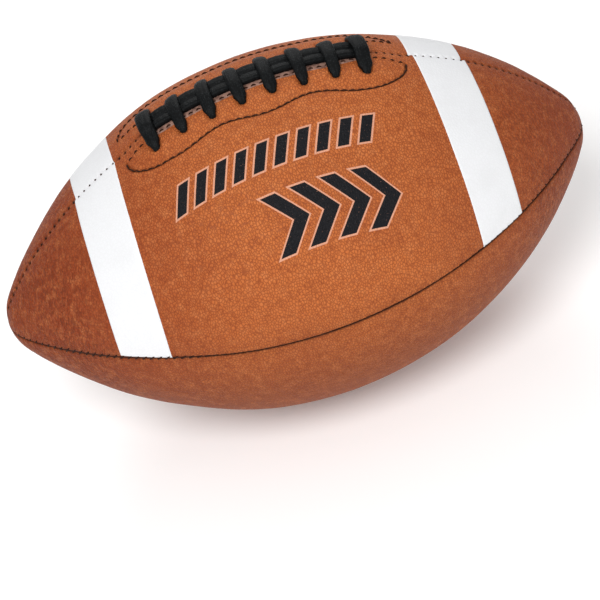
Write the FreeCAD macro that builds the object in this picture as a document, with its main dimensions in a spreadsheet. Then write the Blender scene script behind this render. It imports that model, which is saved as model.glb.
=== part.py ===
import FreeCAD, Part
import math
import operator
import os
import Sketcher
from types import SimpleNamespace
from FreeCAD import Placement, Rotation, Vector

# A leather gridiron football with its laces up. X runs from nose to nose, +Z points at the
# lacing and -Y at the front. Every piece is drawn about the middle of the ball, or about the
# centre of the arc that its belly follows, and then lifted, so that the origin is on the ground
# below the middle of the ball.

DIMENSIONS = {
    # outline: a long belly arc that runs tangent into a round nose at each end
    "half_length": 143.5,
    "half_diameter": 84.0,
    "nose_radius": 23.0,
    # cover
    "leather_thickness": 1.8,
    "lining_thickness": 1.2,
    "seam_half_width": 0.9,
    "seam_depth": 0.9,
    "stripe_inner_edge": 74.0,
    "stripe_outer_edge": 96.6,
    "stripe_depth": 0.65,
    "stripe_rise": 0.15,
    # lacing; the pitch is measured along the leather
    "slit_half_width": 1.5,
    "slit_half_length": 56.0,
    "lace_pitch": 14.5,
    "lace_hole_radius": 2.1,
    "lace_hole_offset": 12.7,
    "lace_leg_radius": 1.8,
    "lace_width": 6.0,
    "lace_thickness": 2.1,
    "arch_height": 3.5,
    "strand_width": 5.1,
    "strand_height": 3.0,
    "strand_corner": 1.3,
    "strand_half_length": 54.5,
    "inner_lace_width": 3.6,
    "inner_lace_height": 1.2,
    "inner_lace_corner": 0.4,
    "inner_lace_depth": 5.95,
    # reinforcement under the lace holes, and the tongue that keeps the lace off the bladder
    "facing_thickness": 1.4,
    "facing_half_length": 71.0,
    "facing_half_width": 24.2,
    "facing_hem": 2.5,
    "facing_inner_line": 6.2,
    "facing_line_half_length": 62.0,
    "guard_depth": 6.6,
    "guard_thickness": 1.0,
    "guard_half_length": 64.0,
    "guard_half_width": 19.0,
    # bladder
    "bladder_reduction": 5.6,
    "bladder_drop": 2.3,
    "bladder_wall": 0.9,
    # valve; depths are measured from its mouth
    "valve_angle": 45.0,
    "valve_hole_radius": 3.4,
    "valve_neck_radius": 3.2,
    "valve_mouth_depth": 0.2,
    "valve_flange_radius": 9.0,
    "valve_flange_depth": 5.6,
    "valve_flange_thickness": 1.35,
    "valve_length": 15.6,
    "valve_plug_radius": 2.1,
    "valve_plug_length": 13.4,
    "needle_radius": 1.1,
    "air_hole_radius": 0.8,
    # thread
    "thread_radius": 0.35,
    "stitch_length": 2.7,
    "stitch_pitch": 3.8,
    "stitch_free_nose": 4.0,
    # gap left between pieces that lie against each other
    "clearance": 0.05,
}

LACE_CROSSINGS = 8
FULL_TURN, HALF_TURN, QUARTER_TURN = 360.0, 180.0, 90.0
# quarters of the cover, counted from the top about the long axis, towards the front first
UPPER_FRONT, LOWER_FRONT, LOWER_REAR, UPPER_REAR = 0, 1, 2, 3
FRONT, REAR = -1, 1
LEFT, RIGHT = -1, 1
# Sketcher's numbers for the start, end and centre of an element, its axes and its origin
START, END, CENTRE = 1, 2, 3
X_AXIS, Y_AXIS = -1, -2
ORIGIN = (-1, 1)
OPERATIONS = {
    "+": operator.add,
    "-": operator.sub,
    "*": operator.mul,
    "/": operator.truediv,
    "^": operator.pow,
}


# ---------------------------------------------------------------- sizes


def joined(left, sign, right):
    """Two sizes or plain numbers with a sign between them, in value and in text."""
    left, right = (
        side if isinstance(side, Size) else Size(float(side), str(float(side)))
        for side in (left, right)
    )
    value = OPERATIONS[sign](left.value, right.value)
    return Size(value, f"({left.text} {sign} {right.text})")


class Size:
    """A number that remembers the spreadsheet expression that it comes from."""

    def __init__(self, value, text):
        self.value = value
        self.text = text

    def __add__(self, other):
        return joined(self, "+", other)

    def __sub__(self, other):
        return joined(self, "-", other)

    def __mul__(self, other):
        return joined(self, "*", other)

    def __rmul__(self, other):
        return joined(other, "*", self)

    def __truediv__(self, other):
        return joined(self, "/", other)

    def __pow__(self, other):
        return joined(self, "^", other)


def root(square):
    return Size(math.sqrt(square.value), f"sqrt({square.text})")


doc = FreeCAD.newDocument("football")
sheet = doc.addObject("Spreadsheet::Sheet", "Dimensions")
for row, (alias, number) in enumerate(DIMENSIONS.items(), start=1):
    sheet.set(f"A{row}", alias)
    sheet.set(f"B{row}", str(number))
    sheet.setAlias(f"B{row}", alias)
doc.recompute()
dims = SimpleNamespace(
    **{alias: Size(float(sheet.get(alias)), f"Dimensions.{alias}") for alias in DIMENSIONS}
)
ZERO = Size(0.0, "0")

# The belly arc is tangent to both nose arcs and passes half_diameter above the long axis.
nose_centre = dims.half_length - dims.nose_radius
belly_radius = (nose_centre**2 + dims.half_diameter**2 - dims.nose_radius**2) / (
    2 * (dims.half_diameter - dims.nose_radius)
)
# height of the belly arc's centre above the long axis: it is below, so this is negative
belly_centre = dims.half_diameter - belly_radius
# seen from the belly arc's centre, the angle from the ball's middle to the tangent point
belly_half_angle = math.atan2(nose_centre.value, -belly_centre.value)
nose_angle = math.pi / 2 - belly_half_angle

# layers of the ball, by how far they are below the cover's surface
under_leather = dims.leather_thickness
under_lining = under_leather + dims.lining_thickness
under_facing = under_lining + dims.facing_thickness

pieces = []


# ---------------------------------------------------------------- bodies, sketches, booleans


def add_body(name, quarter=0):
    """An empty body, turned about the long axis by a number of quarter turns."""
    body = doc.addObject("PartDesign::Body", name)
    body.Placement = Placement(Vector(), Rotation(Vector(1, 0, 0), QUARTER_TURN * quarter))
    return body


def add_sketch(body, role):
    """A sketch on one of a body's own origin planes."""
    sketch = body.newObject("Sketcher::SketchObject", f"{body.Name}_sketch")
    plane = next(f for f in body.Origin.OriginFeatures if f.Role == role)
    sketch.AttachmentSupport = [(plane, "")]
    sketch.MapMode = "FlatFace"
    return sketch


def relate(sketch, kind, *elements):
    sketch.addConstraint(Sketcher.Constraint(kind, *elements))


def bind(sketch, name, length, kind, *elements):
    """Add a driving constraint and tie its value to the spreadsheet."""
    index = sketch.addConstraint(Sketcher.Constraint(kind, *elements, length.value))
    sketch.renameConstraint(index, name)
    sketch.setExpression(f"Constraints.{name}", length.text)


def add_line(sketch, first, last):
    """A straight line between two (element, point) ends that are already drawn."""
    line = Part.LineSegment(sketch.getPoint(*first), sketch.getPoint(*last))
    number = sketch.addGeometry(line, False)
    relate(sketch, "Coincident", number, START, *first)
    relate(sketch, "Coincident", number, END, *last)
    return number


def add_arc(sketch, centre, radius, begin, finish):
    circle = Part.Circle(Vector(*centre, 0), Vector(0, 0, 1), radius)
    return sketch.addGeometry(Part.ArcOfCircle(circle, begin, finish), False)


def revolve(body, sketch, axis, angle, both_ways=False):
    turned = body.newObject("PartDesign::Revolution", f"{body.Name}_turned")
    turned.Profile = sketch
    turned.ReferenceAxis = (sketch, [axis])
    turned.Angle = angle
    turned.Midplane = both_ways


def pad(body, sketch, length, both_ways=False):
    block = body.newObject("PartDesign::Pad", f"{body.Name}_pad")
    block.Profile = sketch
    block.setExpression("Length", length.text)
    block.SideType = "Symmetric" if both_ways else "One side"


def fuse(name, shapes):
    joint = doc.addObject("Part::MultiFuse", name)
    joint.Shapes = shapes
    return joint


def cut(name, base, tools):
    """A piece without what its tools take away, one after the other."""
    for tool in tools:
        result = doc.addObject("Part::Cut", name)
        result.Base = base
        result.Tool = tool
        base = result
    return base


def keep(label, piece, rise=ZERO):
    """Name a finished sub-part and lift it; rise is the height of its own centre in the ball."""
    piece.Label = label
    piece.setExpression(".Placement.Base.z", (dims.half_diameter + rise).text)
    pieces.append(piece)


# ---------------------------------------------------------------- cover, lining and bladder


def draw_meridian(sketch, tag, layer):
    """Nose arc, belly arc and nose arc of a layer; returns its two ends on the long axis."""
    nose, belly = dims.nose_radius - layer, belly_radius - layer
    sweep, far = nose_angle, math.pi - nose_angle
    right = add_arc(sketch, (nose_centre.value, 0), nose.value, 0, sweep)
    middle = add_arc(sketch, (0, belly_centre.value), belly.value, sweep, far)
    left = add_arc(sketch, (-nose_centre.value, 0), nose.value, far, math.pi)
    relate(sketch, "Tangent", right, END, middle, START)
    relate(sketch, "Tangent", middle, END, left, START)
    relate(sketch, "PointOnObject", middle, CENTRE, Y_AXIS)
    for element, point in ((right, CENTRE), (left, CENTRE), (right, START), (left, END)):
        relate(sketch, "PointOnObject", element, point, X_AXIS)
    relate(sketch, "Equal", right, left)
    bind(sketch, f"{tag}_nose", nose, "Radius", right)
    bind(sketch, f"{tag}_belly", belly, "Radius", middle)
    bind(sketch, f"{tag}_tip", dims.half_length - layer, "DistanceX", *ORIGIN, right, START)
    return (right, START), (left, END)


def draw_layers(body, outer_layer, inner_layer):
    """The upper half of the strip that lies between two layers, from nose to nose."""
    sketch = add_sketch(body, "XZ_Plane")
    outer_ends = draw_meridian(sketch, "outer", outer_layer)
    inner_ends = draw_meridian(sketch, "inner", inner_layer)
    for outer, inner in zip(outer_ends, inner_ends):
        add_line(sketch, outer, inner)
    return sketch


def add_shell(name, outer_layer, inner_layer, quarter=0, angle=QUARTER_TURN):
    """What lies between two layers of the ball, over an angle about the long axis."""
    body = add_body(name, quarter)
    revolve(body, draw_layers(body, outer_layer, inner_layer), "H_Axis", angle)
    return body


def add_seam_channel(name, quarter):
    """The rolled-in joint between two panels, as a narrow arched bar to be cut away."""
    body = add_body(name, quarter)
    sketch = draw_layers(body, -1 * dims.leather_thickness, dims.seam_depth)
    pad(body, sketch, 2 * dims.seam_half_width, both_ways=True)
    return body


def add_band(name, side, outer_layer, inner_layer, quarter):
    """A stripe's ring section, two belly arcs and two square ends, turned by a quarter."""
    body = add_body(name, quarter)
    sketch = add_sketch(body, "XZ_Plane")
    edges = {"outer_edge": dims.stripe_outer_edge, "inner_edge": dims.stripe_inner_edge}
    corners = (START, END) if side == RIGHT else (END, START)
    arcs = []
    for tag, layer in (("top", outer_layer), ("bottom", inner_layer)):
        radius = belly_radius - layer
        angles = sorted(math.acos(side * edge.value / radius.value) for edge in edges.values())
        arc = add_arc(sketch, (0, belly_centre.value), radius.value, *angles)
        relate(sketch, "PointOnObject", arc, CENTRE, Y_AXIS)
        bind(sketch, f"{tag}_centre", -1 * belly_centre, "DistanceY", arc, CENTRE, *ORIGIN)
        bind(sketch, f"{tag}_radius", radius, "Radius", arc)
        for (edge, reach), corner in zip(edges.items(), corners):
            span = (*ORIGIN, arc, corner) if side == RIGHT else (arc, corner, *ORIGIN)
            bind(sketch, f"{tag}_{edge}", reach, "DistanceX", *span)
        arcs.append(arc)
    for corner in corners:
        add_line(sketch, (arcs[0], corner), (arcs[1], corner))
    revolve(body, sketch, "H_Axis", QUARTER_TURN)
    return body


# ---------------------------------------------------------------- lacing


def crossing_turns():
    """The turns about the belly arc's centre that bring the middle to each lace crossing."""
    pitch_angle = math.degrees(dims.lace_pitch.value / belly_radius.value)
    for number in range(LACE_CROSSINGS):
        yield Rotation(Vector(0, 1, 0), (number - (LACE_CROSSINGS - 1) / 2) * pitch_angle)


def add_lacing_cutter():
    """The slit between the upper panels and the two rows of lace holes, to be cut away."""
    slit = doc.addObject("Part::Box", "lacing_slit")
    slit.setExpression("Length", (2 * dims.slit_half_length).text)
    slit.setExpression("Width", (2 * dims.slit_half_width).text)
    slit.setExpression("Height", (2 * dims.half_diameter).text)
    slit.setExpression(".Placement.Base.x", (-1 * dims.slit_half_length).text)
    slit.setExpression(".Placement.Base.y", (-1 * dims.slit_half_width).text)
    bars = [slit]
    for side in (FRONT, REAR):
        foot = Vector(0, side * dims.lace_hole_offset.value, belly_centre.value)
        for turn in crossing_turns():
            hole = doc.addObject("Part::Cylinder", "lace_hole")
            hole.setExpression("Radius", dims.lace_hole_radius.text)
            hole.setExpression("Height", (2 * belly_radius).text)
            hole.Placement = Placement(foot, turn)
            bars.append(hole)
    return fuse("lacing_cutter", bars)


def add_facing_plan(name, side, half_length, half_width):
    """A tall block over a lace facing: straight beside the seam and outside, with round ends."""
    body = add_body(name)
    sketch = add_sketch(body, "XY_Plane")
    middle = (half_length - half_width).value
    quarter = math.pi / 2
    begins = (0, quarter) if side == REAR else (-quarter, 2 * quarter)
    seam_corner, edge_corner = (START, END) if side == REAR else (END, START)
    right = add_arc(sketch, (middle, 0), half_width.value, begins[0], begins[0] + quarter)
    left = add_arc(sketch, (-middle, 0), half_width.value, begins[1], begins[1] + quarter)
    right_seam, left_seam = (right, seam_corner), (left, edge_corner)
    right_edge, left_edge = (right, edge_corner), (left, seam_corner)
    add_line(sketch, right_seam, left_seam)
    add_line(sketch, right_edge, left_edge)
    for point in (right_seam, left_seam, (right, CENTRE), (left, CENTRE)):
        relate(sketch, "PointOnObject", *point, X_AXIS)
    for arc, corner in (right_edge, left_edge):
        relate(sketch, "Vertical", arc, corner, arc, CENTRE)
        bind(sketch, f"radius_{arc}", half_width, "Radius", arc)
    bind(sketch, "right_reach", half_length, "DistanceX", *ORIGIN, *right_seam)
    bind(sketch, "left_reach", half_length, "DistanceX", *left_seam, *ORIGIN)
    pad(body, sketch, dims.half_diameter)
    return body


def trim(name, shell, plans):
    """Keep only the part of a shell that lies under its plan."""
    result = doc.addObject("Part::Common", name)
    result.Base = shell
    result.Tool = plans[0] if len(plans) == 1 else fuse(f"{name}_plan", plans)
    return result


def add_strand(name, middle, floor, width, height, corner):
    """A flat lace with round edges along the top of the ball, drawn about the belly's centre.

    middle is how far it lies from the seam, towards the rear, and floor its inner radius.
    """
    body = add_body(name)
    sketch = add_sketch(body, "YZ_Plane")
    low, high = middle - width / 2, middle + width / 2
    centres = [
        (high.value - corner.value, floor.value + corner.value),
        (high.value - corner.value, (floor + height - corner).value),
        (low.value + corner.value, (floor + height - corner).value),
        (low.value + corner.value, floor.value + corner.value),
    ]
    arcs = []
    for quarter, centre in enumerate(centres, start=-1):
        begin = quarter * math.pi / 2
        arcs.append(add_arc(sketch, centre, corner.value, begin, begin + math.pi / 2))
    lines = []
    for number, arc in enumerate(arcs):
        following = arcs[(number + 1) % len(arcs)]
        ends = sketch.getPoint(arc, END), sketch.getPoint(following, START)
        line = sketch.addGeometry(Part.LineSegment(*ends), False)
        relate(sketch, "Tangent", arc, END, line, START)
        relate(sketch, "Tangent", line, END, following, START)
        relate(sketch, "Horizontal" if number % 2 else "Vertical", line)
        lines.append(line)
    for arc in arcs[1:]:
        relate(sketch, "Equal", arcs[0], arc)
    right, upper, left, lower = lines
    bind(sketch, "corner", corner, "Radius", arcs[0])
    bind(sketch, "width", width, "DistanceX", left, START, right, START)
    bind(sketch, "height", height, "DistanceY", lower, START, upper, START)
    bind(sketch, "floor", floor, "DistanceY", *ORIGIN, lower, START)
    if high.value > 0:
        bind(sketch, "reach", high, "DistanceX", *ORIGIN, right, START)
    else:
        bind(sketch, "reach", -1 * low, "DistanceX", left, START, *ORIGIN)
    angle = 2 * math.degrees(dims.strand_half_length.value / belly_radius.value)
    revolve(body, sketch, "H_Axis", angle, both_ways=True)
    return body


def add_lace_arch():
    """The part of a crossing that spans the strands from lace hole to lace hole."""
    offset = dims.lace_hole_offset
    hole_drop = dims.half_diameter - root(dims.half_diameter**2 - offset**2)
    rise = dims.arch_height + hole_drop
    inner = (offset**2 + rise**2) / (2 * rise)
    outer = inner + dims.lace_thickness
    centre = belly_radius + dims.arch_height + dims.clearance - inner
    body = add_body("lace_arch")
    sketch = add_sketch(body, "YZ_Plane")
    half_angle = math.asin(offset.value / inner.value)
    begin, finish = math.pi / 2 - half_angle, math.pi / 2 + half_angle
    underside = add_arc(sketch, (0, centre.value), inner.value, begin, finish)
    top = add_arc(sketch, (0, centre.value), outer.value, begin, finish)
    relate(sketch, "PointOnObject", underside, CENTRE, Y_AXIS)
    relate(sketch, "Coincident", top, CENTRE, underside, CENTRE)
    for corner in (START, END):
        line = add_line(sketch, (underside, corner), (top, corner))
        relate(sketch, "PointOnObject", underside, CENTRE, line)
    bind(sketch, "centre", centre, "DistanceY", *ORIGIN, underside, CENTRE)
    bind(sketch, "underside", inner, "Radius", underside)
    bind(sketch, "top", outer, "Radius", top)
    bind(sketch, "rear_reach", offset, "DistanceX", *ORIGIN, underside, START)
    bind(sketch, "front_reach", offset, "DistanceX", underside, END, *ORIGIN)
    pad(body, sketch, dims.lace_width, both_ways=True)
    return body, belly_radius - hole_drop + dims.lace_thickness / 2


def add_lace_legs(elbow_height):
    """The two ends of a crossing, which go down through the cover, with their round elbows."""
    foot_height = belly_radius - dims.inner_lace_depth + dims.clearance
    parts = []
    for side in (FRONT, REAR):
        leg = doc.addObject("Part::Cylinder", "lace_leg")
        leg.setExpression("Radius", dims.lace_leg_radius.text)
        leg.setExpression("Height", (elbow_height - foot_height).text)
        leg.setExpression(".Placement.Base.y", (side * dims.lace_hole_offset).text)
        leg.setExpression(".Placement.Base.z", foot_height.text)
        elbow = doc.addObject("Part::Sphere", "lace_elbow")
        elbow.setExpression("Radius", dims.lace_leg_radius.text)
        elbow.setExpression(".Placement.Base.y", (side * dims.lace_hole_offset).text)
        elbow.setExpression(".Placement.Base.z", elbow_height.text)
        parts += [leg, elbow]
    return parts


# ---------------------------------------------------------------- valve


def add_turned_piece(name, profile):
    """A piece turned about Z from a closed outline of (radius, depth) corners."""
    body = add_body(name)
    sketch = add_sketch(body, "XZ_Plane")
    points = [Vector(radius.value, deep.value, 0) for radius, deep in profile]
    following = points[1:] + points[:1]
    lines = sketch.addGeometry([Part.LineSegment(*ends) for ends in zip(points, following)], False)
    for number, line in enumerate(lines):
        relate(sketch, "Coincident", line, START, lines[number - 1], END)
        radius, deep = profile[number]
        bind(sketch, f"radius_{number}", radius, "DistanceX", *ORIGIN, line, START)
        if deep is ZERO:
            relate(sketch, "PointOnObject", line, START, X_AXIS)
        else:
            bind(sketch, f"depth_{number}", deep, "DistanceY", *ORIGIN, line, START)
    revolve(body, sketch, "V_Axis", FULL_TURN)
    # depths run inwards, so the piece's own +Z points from its mouth to the ball's middle
    inwards = Rotation(Vector(1, 0, 0), HALF_TURN - dims.valve_angle.value)
    mouth = dims.half_diameter - dims.valve_mouth_depth
    body.Placement = Placement(inwards * Vector(0, 0, -mouth.value), inwards)
    rise = Size(
        mouth.value * math.cos(math.radians(dims.valve_angle.value)),
        f"({mouth.text} * cos({dims.valve_angle.text}))",
    )
    return body, rise


def add_valve_drill(name, radius):
    """A bar from the ball's middle out through the valve's place, to be cut away."""
    drill = doc.addObject("Part::Cylinder", name)
    drill.setExpression("Radius", radius.text)
    drill.setExpression("Height", (2 * dims.half_diameter).text)
    drill.Placement = Placement(Vector(), Rotation(Vector(1, 0, 0), -dims.valve_angle.value))
    return drill


# ---------------------------------------------------------------- stitching


def surface_normal(point):
    """The outward direction of the cover at a point of it."""
    if abs(point.x) > belly_radius.value * math.sin(belly_half_angle):
        centre = Vector(math.copysign(nose_centre.value, point.x), 0, 0)
    else:
        centre = Vector(0, point.y, point.z).normalize() * belly_centre.value
    return (point - centre).normalize()


def on_surface(x, y):
    """The point of the cover's belly straight above a point of the plan."""
    reach = belly_centre.value + math.sqrt(belly_radius.value**2 - x**2)
    return Vector(x, y, math.sqrt(reach**2 - y**2))


def add_stitches(name, lines, height, turn=0):
    """Rows of short thread lengths, one between each two points of a line on the cover.

    height is how far the thread's middle is above the cover, or below it where negative.
    """
    radius, half = dims.thread_radius.value, dims.stitch_length.value / 2
    straight = half - radius
    ends = Vector(-half, 0, 0), Vector(-straight, radius, 0), Vector(straight, radius, 0)
    tip = Vector(half, 0, 0)
    bulge = radius * math.sin(math.pi / 4)
    edges = [
        Part.Arc(ends[0], Vector(-straight - bulge, bulge, 0), ends[1]).toShape(),
        Part.LineSegment(ends[1], ends[2]).toShape(),
        Part.Arc(ends[2], Vector(straight + bulge, bulge, 0), tip).toShape(),
        Part.LineSegment(tip, ends[0]).toShape(),
    ]
    thread = Part.Face(Part.Wire(edges)).revolve(Vector(), Vector(1, 0, 0), FULL_TURN)
    stitches = []
    for points in lines:
        for first, last in zip(points, points[1:]):
            middle = (first + last) / 2
            stitch = thread.copy()
            turned = Rotation(Vector(1, 0, 0), last - first)
            stitch.Placement = Placement(middle + surface_normal(middle) * height, turned)
            stitches.append(stitch)
    row = doc.addObject("Part::Feature", name)
    row.Shape = Part.makeCompound(stitches)
    row.Placement = Placement(Vector(), Rotation(Vector(1, 0, 0), QUARTER_TURN * turn))
    keep(name, row)


def seam_line(side, first_x):
    """Points one stitch apart along the top seam, from first_x to short of a nose."""
    pitch = dims.stitch_pitch.value
    belly_end = belly_radius.value * belly_half_angle
    distance = belly_radius.value * math.asin(first_x / belly_radius.value)
    last = belly_end + dims.nose_radius.value * nose_angle - dims.stitch_free_nose.value
    points = []
    while distance < last:
        if distance < belly_end:
            angle = distance / belly_radius.value
            centre, radius = Vector(0, 0, belly_centre.value), belly_radius.value
        else:
            angle = belly_half_angle + (distance - belly_end) / dims.nose_radius.value
            centre, radius = Vector(nose_centre.value, 0, 0), dims.nose_radius.value
        point = centre + Vector(math.sin(angle), 0, math.cos(angle)) * radius
        points.append(Vector(side * point.x, 0, point.z))
        distance += pitch
    return points


def add_seam_stitches(name, turn, gap_half_length=ZERO):
    """The thread that shows in a seam groove; the gap is where the lacing slit is."""
    lines = [seam_line(side, gap_half_length.value) for side in (LEFT, RIGHT)]
    sunk = dims.seam_depth - dims.thread_radius - dims.clearance
    add_stitches(name, lines, -sunk.value, turn)


def add_facing_stitches(name, side):
    """The hem line around a lace facing and the straight line beside the slit."""
    width = (dims.facing_half_width - dims.facing_hem).value
    middle = (dims.facing_half_length - dims.facing_hem).value - width
    low = math.asin(dims.facing_hem.value / width)
    ends = [Vector(s * (middle + width * math.cos(low)), width * math.sin(low), 0) for s in (1, -1)]
    shoulders = [Vector(s * (middle + width / 2**0.5), width / 2**0.5, 0) for s in (1, -1)]
    tops = [Vector(s * middle, width, 0) for s in (1, -1)]
    hem = Part.Wire(
        [
            Part.Arc(ends[0], shoulders[0], tops[0]).toShape(),
            Part.LineSegment(*tops).toShape(),
            Part.Arc(tops[1], shoulders[1], ends[1]).toShape(),
        ]
    )
    reach, away = dims.facing_line_half_length.value, dims.facing_inner_line.value
    inner = Part.Wire(Part.LineSegment(Vector(reach, away, 0), Vector(-reach, away, 0)).toShape())
    lines = []
    for wire in (hem, inner):
        plan = wire.discretize(Distance=dims.stitch_pitch.value)
        lines.append([on_surface(point.x, side * point.y) for point in plan])
    add_stitches(name, lines, (dims.thread_radius + dims.clearance).value)


# ---------------------------------------------------------------- the ball, piece by piece

SEAMS = ("top", "front", "bottom", "rear")
seam_channels = {
    seam: add_seam_channel(f"{seam}_seam_channel", quarter) for quarter, seam in enumerate(SEAMS)
}
lacing_cutter = add_lacing_cutter()
valve_drill = add_valve_drill("valve_drill", dims.valve_hole_radius)

QUARTERS = (
    # name, quarter turn, its two seams, what else opens its leather
    ("upper_front", UPPER_FRONT, ("top", "front"), [lacing_cutter]),
    ("upper_rear", UPPER_REAR, ("top", "rear"), [lacing_cutter, valve_drill]),
    ("lower_front", LOWER_FRONT, ("bottom", "front"), []),
    ("lower_rear", LOWER_REAR, ("bottom", "rear"), []),
)
for name, quarter, seams, openings in QUARTERS:
    channels = [seam_channels[seam] for seam in seams]
    tools = channels + openings
    if quarter in (UPPER_FRONT, UPPER_REAR):
        for side, end in ((LEFT, "left"), (RIGHT, "right")):
            room = (-1 * dims.leather_thickness, dims.stripe_depth)
            tools.append(add_band(f"{name}_{end}_recess", side, *room, quarter))
            layers = (-1 * dims.stripe_rise, dims.stripe_depth)
            band = add_band(f"{name}_{end}_band", side, *layers, quarter)
            keep(f"{name}_{end}_stripe", cut(f"{name}_{end}_band_cut", band, channels))
    leather = add_shell(f"{name}_leather", ZERO, under_leather, quarter)
    keep(f"{name}_panel", cut(f"{name}_panel_cut", leather, tools))
    lining = add_shell(f"{name}_cloth", under_leather, under_lining, quarter)
    if openings:
        lining = cut(f"{name}_lining_cut", lining, openings)
    keep(f"{name}_lining", lining)

for name, side, quarter in (("front", FRONT, UPPER_FRONT), ("rear", REAR, UPPER_REAR)):
    layer = add_shell(f"{name}_facing_layer", under_lining, under_facing, quarter)
    plan = add_facing_plan(
        f"{name}_facing_plan", side, dims.facing_half_length, dims.facing_half_width
    )
    facing = trim(f"{name}_facing_blank", layer, [plan])
    keep(f"{name}_lace_facing", cut(f"{name}_facing_cut", facing, [lacing_cutter]))
    add_facing_stitches(f"{name}_facing_stitches", side)
    strand = add_strand(
        f"{name}_strand",
        side * (dims.strand_width / 2 + dims.clearance),
        belly_radius + dims.clearance,
        dims.strand_width,
        dims.strand_height,
        dims.strand_corner,
    )
    keep(f"{name}_lace_strand", strand, belly_centre)
    inner_lace = add_strand(
        f"{name}_inner_strand",
        side * dims.lace_hole_offset,
        belly_radius - dims.inner_lace_depth - dims.inner_lace_height,
        dims.inner_lace_width,
        dims.inner_lace_height,
        dims.inner_lace_corner,
    )
    keep(f"{name}_inner_lace", inner_lace, belly_centre)

guard_layer = add_shell(
    "guard_layer",
    dims.guard_depth,
    dims.guard_depth + dims.guard_thickness,
    UPPER_REAR,
    HALF_TURN,
)
guard_plans = [
    add_facing_plan(f"guard_plan_{side}", side, dims.guard_half_length, dims.guard_half_width)
    for side in (FRONT, REAR)
]
keep("lace_guard", trim("guard_blank", guard_layer, guard_plans))

arch, elbow_height = add_lace_arch()
crossing_shapes = [arch, *add_lace_legs(elbow_height)]
for number, turn in enumerate(crossing_turns(), start=1):
    crossing = fuse(f"crossing_{number}", crossing_shapes)
    crossing.Placement = Placement(Vector(), turn)
    keep(f"lace_crossing_{number}", crossing, belly_centre)

for turn, seam in enumerate(SEAMS):
    gap = dims.slit_half_length + dims.stitch_length if seam == "top" else ZERO
    add_seam_stitches(f"{seam}_seam_stitches", turn, gap)

bladder_skin = add_shell(
    "bladder_skin",
    dims.bladder_reduction,
    dims.bladder_reduction + dims.bladder_wall,
    angle=FULL_TURN,
)
bladder_skin.setExpression(".Placement.Base.z", (-1 * dims.bladder_drop).text)
neck_drill = add_valve_drill("neck_drill", dims.valve_neck_radius + dims.clearance)
keep("bladder", cut("bladder_cut", bladder_skin, [neck_drill]))

bore = dims.valve_plug_radius + dims.clearance
flange_bottom = dims.valve_flange_depth + dims.valve_flange_thickness
seat = dims.valve_plug_length + dims.clearance
housing_profile = (
    (bore, ZERO),
    (dims.valve_neck_radius, ZERO),
    (dims.valve_neck_radius, dims.valve_flange_depth),
    (dims.valve_flange_radius, dims.valve_flange_depth),
    (dims.valve_flange_radius, flange_bottom),
    (dims.valve_neck_radius, flange_bottom),
    (dims.valve_neck_radius, dims.valve_length),
    (dims.air_hole_radius, dims.valve_length),
    (dims.air_hole_radius, seat),
    (bore, seat),
)
keep("valve_housing", *add_turned_piece("housing", housing_profile))
plug_profile = (
    (dims.needle_radius, ZERO),
    (dims.valve_plug_radius, ZERO),
    (dims.valve_plug_radius, dims.valve_plug_length),
    (dims.needle_radius, dims.valve_plug_length),
)
keep("valve_plug", *add_turned_piece("plug", plug_profile))


# ---------------------------------------------------------------- check and write

doc.recompute()
failed = [o.Label for o in doc.Objects if {"Invalid", "Error"} & set(o.State)]
failed += [p.Label for p in pieces if p.Shape.isNull() or not p.Shape.isValid()]
if failed:
    raise RuntimeError(f"these did not build: {failed}")
os.makedirs("parts", exist_ok=True)
for piece in pieces:
    piece.Shape.exportStep(f"parts/{piece.Label}.step")
    print(piece.Label, len(piece.Shape.Solids), round(piece.Shape.Volume, 1))
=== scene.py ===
import math

import bpy
import numpy as np
from mathutils import Matrix, Vector


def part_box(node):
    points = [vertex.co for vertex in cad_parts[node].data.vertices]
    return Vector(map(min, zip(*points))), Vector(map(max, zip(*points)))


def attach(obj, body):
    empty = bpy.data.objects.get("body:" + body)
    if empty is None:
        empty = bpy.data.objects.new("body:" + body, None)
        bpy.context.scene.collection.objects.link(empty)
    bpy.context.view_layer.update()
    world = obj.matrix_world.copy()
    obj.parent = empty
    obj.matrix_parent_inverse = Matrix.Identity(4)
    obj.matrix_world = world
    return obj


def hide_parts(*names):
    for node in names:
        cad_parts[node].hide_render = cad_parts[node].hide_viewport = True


# A gridiron football: four pebbled leather panels, white end stripes, stitched seams and raised laces.
# Lengths are metres in the CAD frame: +X from nose to nose, +Z up through the laces, -Y to the front panels.
# A place on the cover is given by s, the distance along a meridian from the middle, and by a, the distance
# round the ball from the top seam (upper panels) or from the bottom seam (lower panels).

MM = 0.001
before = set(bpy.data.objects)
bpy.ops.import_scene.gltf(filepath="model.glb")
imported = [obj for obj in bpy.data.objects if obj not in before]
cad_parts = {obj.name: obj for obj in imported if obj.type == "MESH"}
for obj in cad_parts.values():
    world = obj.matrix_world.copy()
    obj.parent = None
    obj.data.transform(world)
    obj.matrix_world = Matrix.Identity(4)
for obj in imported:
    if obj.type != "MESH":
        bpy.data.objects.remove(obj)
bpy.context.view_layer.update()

panel_low, panel_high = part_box("upper_front_panel")
half_length = panel_high.x
axis_height = -panel_low.y
half_diameter = axis_height
nose_radius = 23 * MM
nose_centre = half_length - nose_radius
belly_radius = (nose_centre**2 + half_diameter**2 - nose_radius**2) / (2 * (half_diameter - nose_radius))
belly_drop = belly_radius - half_diameter
belly_turn = math.atan2(nose_centre, belly_drop)
belly_arc = belly_radius * belly_turn
half_arc = belly_arc + nose_radius * (math.pi / 2 - belly_turn)

leather = 1.8 * MM
stitch_pitch = 3.8 * MM
stitch_length = 2.7 * MM
thread_radius = 0.38 * MM
stripe_rise = 0.2 * MM
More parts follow.
